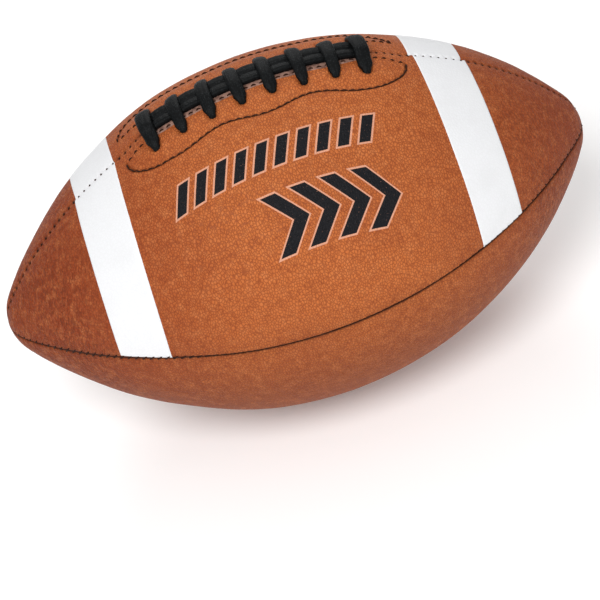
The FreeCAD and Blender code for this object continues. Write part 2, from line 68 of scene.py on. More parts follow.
# |x| of the inner and outer edge of each stripe at the top seam, and their lean away from it
stripe_edges = {
    "upper_front_left": (70.9 * MM, 94.5 * MM, 0.061),
    "upper_front_right": (73.9 * MM, 96.8 * MM, -0.005),
    "upper_rear_left": (71.3 * MM, 93.8 * MM, -0.01),
    "upper_rear_right": (72.1 * MM, 95.4 * MM, 0.035),
}
slit_half = 56 * MM
hole_arc = 12.9 * MM
lace_pitch = 14.5 * MM
crossing_arcs = [lace_pitch * (number - 3.5) for number in range(8)]
valve_angle = -math.pi / 4
valve_hole = 3.4 * MM


# ---------------------------------------------------------------- noise, seeded

def scatter(column, row, seed):
    """A seeded number from 0 to 1 for every whole-number cell."""
    mixed = (column * 73856093) ^ (row * 19349663) ^ (seed * 83492791)
    mixed = mixed & 0xFFFFFFFF
    mixed = ((mixed ^ (mixed >> 15)) * 2246822519) & 0xFFFFFFFF
    mixed = ((mixed ^ (mixed >> 13)) * 3266489917) & 0xFFFFFFFF
    mixed = mixed ^ (mixed >> 16)
    return mixed / 4294967296.0


def lumps(u, v, size, seed):
    """Smooth noise from -1 to 1 with bumps about `size` apart."""
    u = u / size
    v = v / size
    column = np.floor(u).astype(np.int64)
    row = np.floor(v).astype(np.int64)
    across = u - column
    along = v - row
    across = across * across * (3 - 2 * across)
    along = along * along * (3 - 2 * along)
    near = scatter(column, row, seed) * (1 - across) + scatter(column + 1, row, seed) * across
    far = scatter(column, row + 1, seed) * (1 - across) + scatter(column + 1, row + 1, seed) * across
    return 2 * (near * (1 - along) + far * along) - 1


def pebbles(u, v, size, seed):
    """Rounded grains about `size` across, 0 in the creases between them and 1 on top."""
    u = u / size
    v = v / size
    column = np.floor(u).astype(np.int64)
    row = np.floor(v).astype(np.int64)
    nearest = np.full(u.shape, 9.0)
    second = np.full(u.shape, 9.0)
    for step in range(-1, 2):
        for rise in range(-1, 2):
            cell_u = column + step
            cell_v = row + rise
            du = cell_u + 0.15 + 0.7 * scatter(cell_u, cell_v, seed) - u
            dv = cell_v + 0.15 + 0.7 * scatter(cell_u, cell_v, seed + 1) - v
            gap = np.sqrt(du * du + dv * dv)
            second = np.minimum(second, np.maximum(nearest, gap))
            nearest = np.minimum(nearest, gap)
    edge = np.clip((second - nearest) / 0.4, 0, 1)
    return edge * (2 - edge)


def ease(value):
    value = np.clip(value, 0, 1)
    return value * value * (3 - 2 * value)


# ---------------------------------------------------------------- the ball's form

def meridian(s):
    """x, distance from the axis, and the outward direction (along x, away from the axis) at arc s."""
    size = np.abs(s)
    on_belly = size <= belly_arc
    turn = np.where(on_belly, size / belly_radius, belly_turn + (size - belly_arc) / nose_radius)
    x = np.where(on_belly, belly_radius * np.sin(turn), nose_centre + nose_radius * np.sin(turn))
    away = np.where(on_belly, belly_radius * np.cos(turn) - belly_drop, nose_radius * np.cos(turn))
    side = np.sign(s)
    return x * side, np.maximum(away, 0), np.sin(turn) * side, np.cos(turn)


def arc_at(x):
    return belly_radius * np.arcsin(x / belly_radius)


def place(s, angle, height):
    """Points on the cover at arc s and angle (0 on top, positive to the front), raised by height."""
    x, away, out_x, out_away = meridian(s)
    radial = away + height * out_away
    return np.stack(
        [x + height * out_x, -radial * np.sin(angle), axis_height + radial * np.cos(angle)], axis=-1
    )


def side_wander(s):
    """The side seams run a little low at the middle and high towards the right nose."""
    right = 1.5 * np.cos(math.pi * s / (128 * MM))
    left = 0.9 + 0.6 * np.cos(math.pi * s / (85 * MM)) - 1.1 * ease(-s / (110 * MM))
    return np.where(s > 0, right, left) * MM * ease((half_arc - np.abs(s)) / (40 * MM))


def quarter(s, upper):
    """Distance round the ball from the top or bottom seam to the side seam."""
    away = meridian(s)[1]
    return away * math.pi / 2 + side_wander(s) * (1 if upper else -1)


def angle_of(s, a, upper, side):
    away = np.maximum(meridian(s)[1], 1e-6)
    turn = a / away
    return side * (turn if upper else math.pi - turn)


# ---------------------------------------------------------------- the sewn area round the laces

reach_straight = 46.5 * MM
tips = {1: (-66 * MM, 68.7 * MM), -1: (-66.3 * MM, 67.5 * MM)}  # of the front and the rear outline


def outline_arc(x, side):
    """How far from the top seam the sewn outline runs beside the laces: wavy in front, even behind."""
    if side > 0:
        return (21.5 + 1.7 * np.cos(2 * math.pi * (x / MM - 1.7) / 43)) * MM
    return (28.6 + 0.4 * np.cos(2 * math.pi * x / (50 * MM))) * MM


def inner_arc(x, side):
    """How far from the slit the stitches run that hold the hem and join the tips of the outline."""
    if side > 0:
        dip = 2.2 * ease((x - 30 * MM) / (24 * MM))
        rise = 3.1 * ease((x - 53 * MM) / (17 * MM)) + 1.4 * ease((-x - 57 * MM) / (9 * MM))
        return (7.0 - dip + rise) * MM
    return (8.4 + 3.6 * ease((np.abs(x) - 44 * MM) / (22 * MM))) * MM


def tip_length(x, side):
    return np.where(x > 0, tips[side][1], -tips[side][0]) - reach_straight


def tip_power(x, side):
    """2 for an oval end; the right end of the rear outline is more pointed."""
    return np.where((x > 0) & (side < 0), 1.35, 2.0)


def outline_gap(x, a, side):
    """Distance inside (positive) or outside (negative) the sewn outline round the laces."""
    inner = inner_arc(x, side)
    width = outline_arc(np.clip(x, -reach_straight, reach_straight), side) - inner
    beyond = np.abs(x) - reach_straight
    length = tip_length(x, side)
    power = tip_power(x, side)
    rise = np.maximum(a - inner, 0)
    ring = ((np.maximum(beyond, 0) / length) ** power + (rise / width) ** power) ** (1 / power)
    return np.where(beyond > 0, (1 - ring) * length * 0.95, width - (a - inner))


def hem_arc(x, side):
    """Distance from the slit to the outer edge of the turned hem."""
    return inner_arc(x, side) + 0.95 * MM


def slimmed(s, angle):
    """How much flatter the ball is than its plain form: at the left nose, and behind the laces."""
    nose = ease((-s - 35 * MM) / (50 * MM)) * ease((half_arc + s) / (55 * MM))
    crown = ease((s + 70 * MM) / (60 * MM)) * ease((115 * MM - s) / (50 * MM))
    return (1.25 * nose + 1.25 * crown * np.exp(-(((angle + 0.62) / 0.4) ** 2))) * MM


def roll(gap, radius):
    """Depth of a rounded edge at a distance from it."""
    inside = np.clip(radius - gap, 0, radius)
    return np.sqrt(np.maximum(radius**2 - inside**2, 0)) - radius


def pits(s, gap, pitch, size):
    """1 in the thread's needle holes along a seam, fading to 0 away from them."""
    along = (s / pitch - np.round(s / pitch)) * pitch
    return np.exp(-(along**2 + gap**2) / size**2)


def hole_gap(s, a):
    """Distance from the edge of the valve's hole in the upper rear panel."""
    return np.sqrt(s**2 + (a + valve_angle * meridian(s)[1]) ** 2) - valve_hole


def relief(s, a, upper, side, seed, grain=True):
    """Height of the leather over the ball's plain form, never as low as the cloth under it."""
    x = meridian(s)[0]
    whole = quarter(s, upper)
    share = np.clip(whole / (14 * MM), 0.02, 1)
    to_side = np.maximum(whole - a, 0)
    height = roll(to_side, 1.55 * MM * share)
    height = height - 0.3 * MM * np.exp(-to_side / (4.5 * MM)) * share
    ripple = np.cos(2 * math.pi * s / stitch_pitch)
    height = height + 0.07 * MM * ripple * np.exp(-to_side / (2.2 * MM)) * share
    pucker = lumps(s, a * 0.15, 1.5 * MM, seed + 21)
    height = height + 0.1 * MM * pucker * np.exp(-to_side / (2.6 * MM)) * ease(to_side / (0.8 * MM)) * share
    if upper:
        on_slit = ease((slit_half + 1.5 * MM - np.abs(x)) / (3 * MM))
        edge_radius = (0.3 + 1.0 * on_slit) * MM * share
        height = height + roll(a, edge_radius)
        height = height - 0.2 * MM * np.exp(-a / (3.0 * MM)) * share * (1 - on_slit)
        needle_holes = pits(s - 0.5 * stitch_pitch, a - 0.55 * MM, stitch_pitch, 0.8 * MM)
        height = height - 0.65 * MM * needle_holes * (1 - on_slit) * share
        inside = outline_gap(x, a, side)
        sewn = ease((a - inner_arc(x, side) + 1.2 * MM) / (1.2 * MM))
        step = 0.28 if side > 0 else 0.05
        groove = 0.55 if side > 0 else 0.2
        height = height + ease(inside / (10 * MM)) * 1.5 * MM + step * MM * ease(inside / (1.8 * MM))
        height = height - groove * MM * sewn * np.exp(-((inside / (0.75 * MM)) ** 2))
        height = height + 0.1 * MM * sewn * np.exp(-(((inside + 1.9 * MM) / (1.1 * MM)) ** 2))
        height = height + 0.12 * MM * ripple * sewn * np.exp(-((inside / (1.6 * MM)) ** 2))
        for hole in crossing_arcs:
            far = np.sqrt((s - hole) ** 2 + (a - hole_arc) ** 2)
            height = height - 1.35 * MM * np.exp(-((far / (2.3 * MM)) ** 2))
            height = height + 0.25 * MM * np.exp(-(((far - 4.2 * MM) / (1.5 * MM)) ** 2))
    else:
        height = height + roll(a, 1.1 * MM * share)
        height = height - 0.3 * MM * np.exp(-a / (4.5 * MM)) * share
    if upper and side < 0:
        to_hole = hole_gap(s, a)
        height = height + 0.35 * MM * np.exp(-(((to_hole - 1.4 * MM) / (1.3 * MM)) ** 2))
        height = height + roll(np.maximum(to_hole, 0), 0.6 * MM)
    height = height - slimmed(s, angle_of(s, a, upper, side))
    height = height + 0.16 * MM * lumps(s, a, 26 * MM, seed) * share
    height = height + 0.05 * MM * lumps(s, a, 9 * MM, seed + 3) * share
    if grain:
        calm = ease(to_side / (1.2 * MM)) * share
        if upper:
            calm = calm * ease(a / (1.2 * MM))
        coarse = 0.6 + 0.4 * lumps(s, a, 30 * MM, seed + 5)
        height = height + 0.11 * MM * coarse * calm * (pebbles(s, a, 1.75 * MM, seed + 7) - 0.5)
        nose = ease((np.abs(s) - 84 * MM) / (24 * MM)) * ease((half_arc - np.abs(s)) / (16 * MM))
        warp = 5 * MM * lumps(s, a, 13 * MM, seed + 11) + 1.6 * MM * lumps(s, a, 4 * MM, seed + 12)
        crease = np.abs(lumps(s * 0.42 + a * 0.25 + warp, a - s * 0.1, 3.1 * MM, seed + 13))
        height = height + 0.06 * MM * nose * calm * (ease(crease / 0.5) - 0.6)
    return np.maximum(height, -1.7 * MM)


def seam_shade(s, a, upper, side):
    """How dark the leather is painted in its seams, holes and stitch lines, from 0 to 1: painted shade in
    these hollows.
    """
    to_side = quarter(s, upper) - a
    dark = np.exp(-((to_side / (0.5 * MM)) ** 2)) + 0.2 * np.exp(-to_side / (2.5 * MM))
    if not upper:
        return np.clip(dark + np.exp(-((a / (0.5 * MM)) ** 2)) + 0.2 * np.exp(-a / (2.5 * MM)), 0, 1)
    x = meridian(s)[0]
    on_slit = ease((slit_half + 1.5 * MM - np.abs(x)) / (3 * MM))
    dark = dark + 0.9 * pits(s - 0.5 * stitch_pitch, a - 0.4 * MM, stitch_pitch, 0.8 * MM) * (1 - on_slit)
    dark = dark + np.exp(-((a / (1.2 * MM)) ** 2)) * on_slit
    sewn = ease((a - inner_arc(x, side) + 1.2 * MM) / (1.2 * MM))
    dark = dark + 0.55 * sewn * np.exp(-((outline_gap(x, a, side) / (0.55 * MM)) ** 2))
    if side < 0:
        to_hole = hole_gap(s, a)
        dark = dark + 0.8 * np.exp(-((to_hole / (0.6 * MM)) ** 2))
    for hole in crossing_arcs:
        far = np.sqrt((s - hole) ** 2 + (a - hole_arc) ** 2)
        dark = dark + 0.9 * np.exp(-((far / (1.9 * MM)) ** 2))
    return np.clip(dark, 0, 1)


# ---------------------------------------------------------------- meshes

def new_piece(name, points, faces, smooth=True):
    mesh = bpy.data.meshes.new(name)
    mesh.from_pydata(points.tolist(), [], faces)
    mesh.polygons.foreach_set("use_smooth", [smooth] * len(mesh.polygons))
    mesh.update()
    piece = bpy.data.objects.new(name, mesh)
    bpy.context.scene.collection.objects.link(piece)
    return piece


def finish_piece(piece, material, nodes):
    piece.data.materials.append(material)
    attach(piece, "root")
    if nodes:
        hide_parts(*nodes)
    return piece


def grid_faces(index, flip=False):
    """Faces of a grid of vertex numbers; a square with a repeated corner becomes a triangle."""
    corners = np.stack([index[:-1, :-1], index[1:, :-1], index[1:, 1:], index[:-1, 1:]], axis=-1)
    corners = corners.reshape(-1, 4)
    if flip:
        corners = corners[:, ::-1]
    kept = []
    for square in corners.tolist():
        outline = [n for place_in, n in enumerate(square) if n != square[place_in - 1]]
        if len(outline) > 2:
            kept.append(outline)
    return kept


def spread(stops, counts):
    """Positions from stop to stop, with the given number of steps in each stretch; stops are arrays."""
    rows = [stops[0]]
    for start, end, count in zip(stops[:-1], stops[1:], counts):
        for number in range(1, count + 1):
            rows.append(start + (end - start) * number / count)
    return np.stack(rows, axis=1)


def panel_lines(s, upper, side):
    """The arcs of the grid lines round a panel, close together at seams and along the sewn outline."""
    whole = quarter(s, upper)
    share = np.clip(whole / (40 * MM), 0, 1)
    edge = 1.7 * MM * share
    if not upper:
        return spread([0 * whole, edge, whole - edge, whole], [7, 158, 7])
    x = meridian(s)[0]
    beyond = np.clip((np.abs(x) - reach_straight) / tip_length(x, side), 0, 1)
    width = outline_arc(np.clip(x, -reach_straight, reach_straight), side)
    power = tip_power(x, side)
    line = (inner_arc(x, side) + (width - inner_arc(x, side)) * (1 - beyond**power) ** (1 / power)) * share
    band = 1.9 * MM * share
    return spread([0 * whole, edge, line - band, line + band, whole - edge, whole], [7, 27, 14, 118, 7])


def make_panel(name, upper, side, seed, material):
    stops = [-half_arc, -71 * MM, -61 * MM, 61 * MM, 71 * MM, half_arc]
    s = np.concatenate([[-half_arc]] + [
        np.linspace(start, end, count + 1)[1:]
        for start, end, count in zip(stops[:-1], stops[1:], [118, 30, 176, 30, 118])])
    a = panel_lines(s, upper, side)
    along = np.repeat(s[:, None], a.shape[1], axis=1)
    outer = place(along, angle_of(along, a, upper, side), relief(along, a, upper, side, seed))
    share = np.linspace(0, 1, 15)
    inner_a = quarter(s, upper)[:, None] * share[None, :]
    inner_s = np.repeat(s[:, None], 15, axis=1)
    inner = place(inner_s, angle_of(inner_s, inner_a, upper, side), -leather + 0 * inner_a)
    points = []
    grids = []
    count = 0
    for layer in (outer, inner):
        index = np.zeros(layer.shape[:2], dtype=np.int64)
        body = layer[1:-1].reshape(-1, 3)
        index[1:-1] = count + 2 + np.arange(len(body)).reshape(layer.shape[0] - 2, -1)
        index[0] = count
        index[-1] = count + 1
        points.append(np.concatenate([layer[:1].mean(axis=1), layer[-1:].mean(axis=1), body]))
        grids.append(index)
        count += len(body) + 2
    turned = (side > 0) != upper
    faces = grid_faces(grids[0], flip=turned) + grid_faces(grids[1], flip=not turned)
    first = np.stack([grids[0][:, 0], grids[1][:, 0]], axis=1)
    last = np.stack([grids[0][:, -1], grids[1][:, -1]], axis=1)
    faces += grid_faces(first, flip=not turned) + grid_faces(last, flip=turned)
    piece = new_piece(name, np.concatenate(points), faces)
    flat = np.concatenate([
        np.array([[0, 0], [0, 0]]), np.stack([along[1:-1], a[1:-1]], axis=-1).reshape(-1, 2),
        np.array([[0, 0], [0, 0]]), np.stack([inner_s[1:-1], inner_a[1:-1]], axis=-1).reshape(-1, 2),
    ])
    # This point attribute carries painted shade for the seams, holes and stitch lines.
    darkness = piece.data.attributes.new("seam_shade", "FLOAT", "POINT")
    on_points = seam_shade(along, a, upper, side)[1:-1].ravel()
    inside = np.zeros(len(piece.data.vertices) - len(on_points) - 2)
    darkness.data.foreach_set("value", np.concatenate([[0.2, 0.2], on_points, inside]).astype(np.float32))
    corner_points = np.empty(len(piece.data.loops), dtype=np.int64)
    piece.data.loops.foreach_get("vertex_index", corner_points)
    layer = piece.data.uv_layers.new(name="cover")
    layer.data.foreach_set("uv", (flat[corner_points] * 10).ravel().astype(np.float32))
    return finish_piece(piece, material, [name])


def tube(path, across, up, half_width, half_height, power=2.0, around=20, grooves=None):
    """Points and faces of a closed sweep with a rounded oval section and domed ends."""
    turn = np.linspace(0, 2 * math.pi, around, endpoint=False)
    bend = 2 / power
    wide = np.sign(np.cos(turn)) * np.abs(np.cos(turn)) ** bend
    tall = np.sign(np.sin(turn)) * np.abs(np.sin(turn)) ** bend
    if grooves is not None:
        tall = tall * (1 + grooves(turn))
    rings = (
        path[:, None, :]
        + across[:, None, :] * (half_width[:, None] * wide[None, :])[..., None]
        + up[:, None, :] * (half_height[:, None] * tall[None, :])[..., None]
    )
    count = len(path)
    points = np.concatenate([rings.reshape(-1, 3), path[:1], path[-1:]])
    index = np.arange(count * around).reshape(count, around)
    index = np.concatenate([index, index[:, :1]], axis=1)
    start = np.full((1, around + 1), count * around)
    end = np.full((1, around + 1), count * around + 1)
    return points, grid_faces(np.concatenate([start, index, end]))


def slab(upper_face, lower_face, turned):
    """Points and faces of a thin closed sheet between two grids of points."""
    rows, columns = upper_face.shape[:2]
    above = np.arange(rows * columns).reshape(rows, columns)
    below = above + rows * columns
    faces = grid_faces(above, flip=turned) + grid_faces(below, flip=not turned)
    rims = [np.concatenate([n[0, :], n[1:, -1], n[-1, -2::-1], n[-2::-1, 0]]) for n in (above, below)]
    faces += grid_faces(np.stack(rims, axis=1), flip=turned)
    return np.concatenate([upper_face.reshape(-1, 3), lower_face.reshape(-1, 3)]), faces


def join_parts(parts):
    points = []
    faces = []
    count = 0
    for part_points, part_faces in parts:
        points.append(part_points)
        faces += [[n + count for n in face] for face in part_faces]
        count += len(part_points)
    return np.concatenate(points), faces


def smooth_through(stops, count):
    """A smooth line through a few points."""
    stops = np.array(stops, dtype=float)
    padded = np.concatenate([2 * stops[:1] - stops[1:2], stops, 2 * stops[-1:] - stops[-2:-1]])
    where = np.linspace(0, len(stops) - 1, count)
    first = np.minimum(where.astype(int), len(stops) - 2)
    t = (where - first)[:, None]
    p0 = padded[first]
    p1 = padded[first + 1]
    p2 = padded[first + 2]
    p3 = padded[first + 3]
    return 0.5 * (2 * p1 + (p2 - p0) * t + (2 * p0 - 5 * p1 + 4 * p2 - p3) * t**2
                  + (3 * p1 - p0 - 3 * p2 + p3) * t**3)


def unit(vectors):
    return vectors / np.maximum(np.linalg.norm(vectors, axis=-1, keepdims=True), 1e-12)


def facing_out(s, angle):
    """Outward direction of the cover."""
    return unit(place(s, angle, 1 * MM + 0 * s) - place(s, angle, 0 * s))


def stitch_run(name, marks, material, nodes, radius=thread_radius, length=stitch_length, sink=0.05 * MM):
    """A row of stitches; marks give s, a, upper, side, seed, direction (along s and a) and perhaps a lift."""
    parts = []
    for s, a, upper, side, seed, along_s, along_a, *lift in marks:
        share = np.linspace(-0.5, 0.5, 7)
        run_s = s + along_s * length * share
        run_a = a + along_a * length * share
        height = relief(run_s, run_a, upper, side, seed, grain=False)
        height = height + (lift[0] if lift else sink) + radius * (1.6 * np.cos(math.pi * share) - 0.9)
        angle = angle_of(run_s, run_a, upper, side)
        path = place(run_s, angle, height)
        up = facing_out(run_s, angle)
        across = unit(np.cross(np.gradient(path, axis=0), up))
        swell = radius * (0.72 + 0.28 * np.cos(math.pi * share))
        parts.append(tube(path, across, up, swell, swell, around=8))
    points, faces = join_parts(parts)
    return finish_piece(new_piece(name, points, faces), material, nodes)


def seam_marks(upper, side, seed, at_side, skip=0.0, inset=0.0):
    """Marks for stitches along a seam, every stitch_pitch, clear of the noses."""
    last = int((half_arc - 7 * MM) / stitch_pitch)
    marks = []
    for number in range(-last, last + 1):
        s = (number + 0.5) * stitch_pitch
        if abs(s) < skip:
            continue
        a = float(quarter(np.array(s), upper)) - inset if at_side else inset
        marks.append((s, a, upper, side, seed, 1.0, 0.0))
    return marks


# ---------------------------------------------------------------- materials

def add_node(tree, kind, inputs=None, **settings):
    made = tree.nodes.new(kind)
    for name, value in settings.items():
        setattr(made, name, value)
    for socket, value in (inputs or {}).items():
        if isinstance(value, bpy.types.NodeSocket):
            tree.links.new(value, made.inputs[socket])
        else:
            made.inputs[socket].default_value = value
    return made


def sum_up(tree, operation, *values):
    node = tree.nodes.new("ShaderNodeMath")
    node.operation = operation
    for place_in, value in enumerate(values):
        if isinstance(value, bpy.types.NodeSocket):
            tree.links.new(value, node.inputs[place_in])
        else:
            node.inputs[place_in].default_value = value
    return node.outputs[0]


def ranged(tree, value, low, high, to_low=0.0, to_high=1.0, smooth=True):
    node = add_node(tree, "ShaderNodeMapRange", {
        "Value": value, "From Min": low, "From Max": high, "To Min": to_low, "To Max": to_high})
    node.interpolation_type = "SMOOTHSTEP" if smooth else "LINEAR"
    return node.outputs["Result"]


def blend_colour(tree, share, first, second, mode="MIX"):
    node = tree.nodes.new("ShaderNodeMix")
    node.data_type = "RGBA"
    node.blend_type = mode
    sockets = [n for n in node.inputs if n.type == "RGBA"]
    factor = node.inputs[0]
    for socket, value in ((factor, share), (sockets[0], first), (sockets[1], second)):
        if isinstance(value, bpy.types.NodeSocket):
            tree.links.new(value, socket)
        elif socket is factor:
            socket.default_value = value
        else:
            socket.default_value = (*value, 1)
    return [n for n in node.outputs if n.type == "RGBA"][0]


def start_material(name):
    material = bpy.data.materials.new(name)
    material.use_nodes = True
    tree = material.node_tree
    shader = tree.nodes["Principled BSDF"]
    where = tree.nodes.new("ShaderNodeTexCoord").outputs["Object"]
    return material, tree, shader, where


def noise(tree, where, scale, detail=3.0, roughness=0.5):
    return add_node(tree, "ShaderNodeTexNoise", {
        "Vector": where, "Scale": scale, "Detail": detail, "Roughness": roughness}).outputs["Fac"]


def stretched(tree, where, factors):
    return add_node(tree, "ShaderNodeVectorMath", {0: where, 1: factors}, operation="MULTIPLY").outputs[0]


def bump(tree, height, distance, strength=1.0, normal=None):
    inputs = {"Height": height, "Distance": distance, "Strength": strength}
    if normal is not None:
        inputs["Normal"] = normal
    return add_node(tree, "ShaderNodeBump", inputs).outputs["Normal"]


def printed_marks(tree):
    """Ink and pale-edge masks for a plain printed pattern: a row of slanted bars above three chevrons."""
    cover = add_node(tree, "ShaderNodeUVMap", uv_map="cover").outputs["UV"]
    parts = add_node(tree, "ShaderNodeSeparateXYZ", {0: cover})
    s = sum_up(tree, "MULTIPLY", parts.outputs[0], 100.0)
    a = sum_up(tree, "MULTIPLY", parts.outputs[1], 100.0)

    def row(middle_s, middle_a, half_width, half_rise, pitch, half_bar, slant, pointed):
        ds = sum_up(tree, "SUBTRACT", s, middle_s)
        da = sum_up(tree, "SUBTRACT", a, middle_a)
        bent = sum_up(tree, "ABSOLUTE", da) if pointed else da
        skewed = sum_up(tree, "ADD", ds, sum_up(tree, "MULTIPLY", bent, slant))
        turns = sum_up(tree, "DIVIDE", skewed, pitch)
        cell = sum_up(tree, "SUBTRACT", sum_up(tree, "FRACT", turns), 0.5)
        in_bar = sum_up(tree, "MULTIPLY", sum_up(tree, "ABSOLUTE", cell), pitch)
        over_bar = sum_up(tree, "SUBTRACT", in_bar, half_bar)
        over_side = sum_up(tree, "SUBTRACT", sum_up(tree, "ABSOLUTE", skewed), half_width)
        over_rise = sum_up(tree, "SUBTRACT", sum_up(tree, "ABSOLUTE", da), half_rise)
        return sum_up(tree, "MAXIMUM", over_bar, sum_up(tree, "MAXIMUM", over_side, over_rise))

    bars = row(-4.0, 44.0, 49.0, 6.5, 9.8, 2.6, 0.45, False)
    chevrons = row(20.0, 76.0, 28.0, 14.0, 14.0, 3.6, 0.8, True)
    nearest = sum_up(tree, "MINIMUM", bars, chevrons)
    ink = ranged(tree, nearest, 0.12, -0.12)
    edge = ranged(tree, nearest, 1.0, 0.75)
    return ink, edge


def leather_material(name, printed=False):
    material, tree, shader, where = start_material(name)
    parts = add_node(tree, "ShaderNodeSeparateXYZ", {0: where})
    x = parts.outputs[0]
    z = parts.outputs[2]
    drift = noise(tree, where, 14.0, 2.0)
    uneven = sum_up(tree, "MULTIPLY", sum_up(tree, "SUBTRACT", drift, 0.5), 0.05)
    # Painted shade: the leather gets darker from the middle towards each nose.
    far = sum_up(tree, "ADD", sum_up(tree, "ABSOLUTE", sum_up(tree, "SUBTRACT", x, 0.012)), uneven)
    tan = blend_colour(tree, ranged(tree, far, 0.03, 0.13), (0.53, 0.145, 0.036), (0.255, 0.041, 0.0098))
    # Painted shade: the leather gets darker towards the bottom of the ball.
    low = ranged(tree, z, 0.100, 0.045)
    tan = blend_colour(tree, sum_up(tree, "MULTIPLY", low, 0.72), tan, (0.235, 0.060, 0.021))
    mottled = noise(tree, where, 230.0, 4.0, 0.65)
    tan = blend_colour(tree, ranged(tree, mottled, 0.42, 0.75, 0.0, 0.5), tan, (0.62, 0.21, 0.07))
    tan = blend_colour(tree, ranged(tree, mottled, 0.5, 0.25, 0.0, 0.4), tan, (0.26, 0.055, 0.018))
    tan = blend_colour(tree, ranged(tree, drift, 0.55, 0.3, 0.0, 0.3), tan, (0.28, 0.062, 0.022))
    drawn = stretched(tree, where, (1.35, 1.0, 1.0))
    grains = add_node(tree, "ShaderNodeTexVoronoi", {"Vector": drawn, "Scale": 640.0, "Randomness": 0.95},
                      feature="DISTANCE_TO_EDGE").outputs["Distance"]
    # Painted shade in the creases between the pebbles.
    crease = ranged(tree, grains, 0.20, 0.0)
    tan = blend_colour(tree, sum_up(tree, "MULTIPLY", crease, 0.66), tan, (0.17, 0.033, 0.011))
    cover = add_node(tree, "ShaderNodeUVMap", uv_map="cover").outputs["UV"]
    drawn_out = stretched(tree, cover, (62.0, 36.0, 1.0))
    folds = add_node(tree, "ShaderNodeTexNoise", {
        "Vector": drawn_out, "Scale": 1.0, "Detail": 1.0, "Distortion": 0.9}).outputs["Fac"]
    near_nose = ranged(tree, sum_up(tree, "ABSOLUTE", x), 0.078, 0.112, 0.08, 1.0)
    wrinkled = sum_up(tree, "MULTIPLY", near_nose, ranged(tree, drift, 0.3, 0.6, 0.35, 1.0))
    # Painted shade in the troughs of the nose wrinkles and a painted highlight on their crests.
    trough = sum_up(tree, "MULTIPLY", wrinkled, ranged(tree, folds, 0.5, 0.36, 0.0, 0.5))
    crest = sum_up(tree, "MULTIPLY", wrinkled, ranged(tree, folds, 0.5, 0.66, 0.0, 0.22))
    tan = blend_colour(tree, trough, tan, (0.15, 0.030, 0.010))
    tan = blend_colour(tree, crest, tan, (0.50, 0.16, 0.06))
    fine = noise(tree, where, 2200.0, 2.0)
    if printed:
        ink, edge = printed_marks(tree)
        worn = ranged(tree, noise(tree, where, 1300.0, 3.0), 0.24, 0.34, 0.75, 1.0)
        tan = blend_colour(tree, sum_up(tree, "MULTIPLY", edge, 0.85), tan, (0.72, 0.36, 0.24))
        tan = blend_colour(tree, sum_up(tree, "MULTIPLY", ink, worn), tan, (0.008, 0.008, 0.010))
    # Painted shade: the point attribute darkens the seams, holes and stitch lines.
    seam_shade_here = add_node(tree, "ShaderNodeAttribute", attribute_name="seam_shade").outputs["Fac"]
    tan = blend_colour(tree, sum_up(tree, "MULTIPLY", seam_shade_here, 0.93), tan, (0.022, 0.006, 0.003))
    tree.links.new(tan, shader.inputs["Base Color"])
    tree.links.new(ranged(tree, fine, 0.3, 0.7, 0.50, 0.64), shader.inputs["Roughness"])
    shader.inputs["Specular IOR Level"].default_value = 0.12
    rounded = ranged(tree, grains, 0.0, 0.34)
    folded = bump(tree, sum_up(tree, "MULTIPLY", folds, wrinkled), 0.0012, 0.9)
    first = bump(tree, rounded, 0.00022, 0.9, folded)
    tree.links.new(bump(tree, fine, 0.00006, 0.6, first), shader.inputs["Normal"])
    return material


def plain_material(name, colour, dark, scale, roughness, depth, specular=0.4, sheen=0.0, detail=4.0):
    """A mottled material with a fine bump."""
    material, tree, shader, where = start_material(name)
    spots = noise(tree, where, scale, detail, 0.6)
    mottle = blend_colour(tree, ranged(tree, spots, 0.3, 0.7), dark, colour)
    tree.links.new(mottle, shader.inputs["Base Color"])
    dull = ranged(tree, spots, 0.3, 0.7, roughness + 0.08, roughness - 0.06)
    tree.links.new(dull, shader.inputs["Roughness"])
    shader.inputs["Specular IOR Level"].default_value = specular
    shader.inputs["Sheen Weight"].default_value = sheen
    tree.links.new(bump(tree, noise(tree, where, scale * 2.2, 3.0), depth, 0.8), shader.inputs["Normal"])
    return material


def lace_material():
    material, tree, shader, where = start_material("black_lace")
    cells = add_node(tree, "ShaderNodeTexVoronoi", {"Vector": where, "Scale": 1100.0, "Randomness": 0.6},
                     feature="F1").outputs["Distance"]
    # Painted highlight: the tops of the cells are lighter and bluer than the hollows.
    top = ranged(tree, cells, 0.55, 0.1)
    black = blend_colour(tree, top, (0.001, 0.0014, 0.0017), (0.0045, 0.0065, 0.0075))
    tree.links.new(black, shader.inputs["Base Color"])
    tree.links.new(ranged(tree, top, 0.0, 1.0, 0.6, 0.4), shader.inputs["Roughness"])
    shader.inputs["Specular IOR Level"].default_value = 0.14
    tree.links.new(bump(tree, top, 0.00012, 0.8), shader.inputs["Normal"])
    return material


def woven_material(name, colour, dark, threads):
    material, tree, shader, where = start_material(name)
    parts = add_node(tree, "ShaderNodeSeparateXYZ", {0: where})
    weave = sum_up(tree, "MULTIPLY",
                   sum_up(tree, "SINE", sum_up(tree, "MULTIPLY", parts.outputs[0], threads)),
                   sum_up(tree, "SINE", sum_up(tree, "MULTIPLY", parts.outputs[2], threads)))
    # Painted shade: the cloth is darker in the low spots of the weave.
    height = ranged(tree, weave, -1.0, 1.0)
    tree.links.new(blend_colour(tree, height, dark, colour), shader.inputs["Base Color"])
    shader.inputs["Roughness"].default_value = 0.9
    tree.links.new(bump(tree, height, 0.0002, 0.6), shader.inputs["Normal"])
    return material


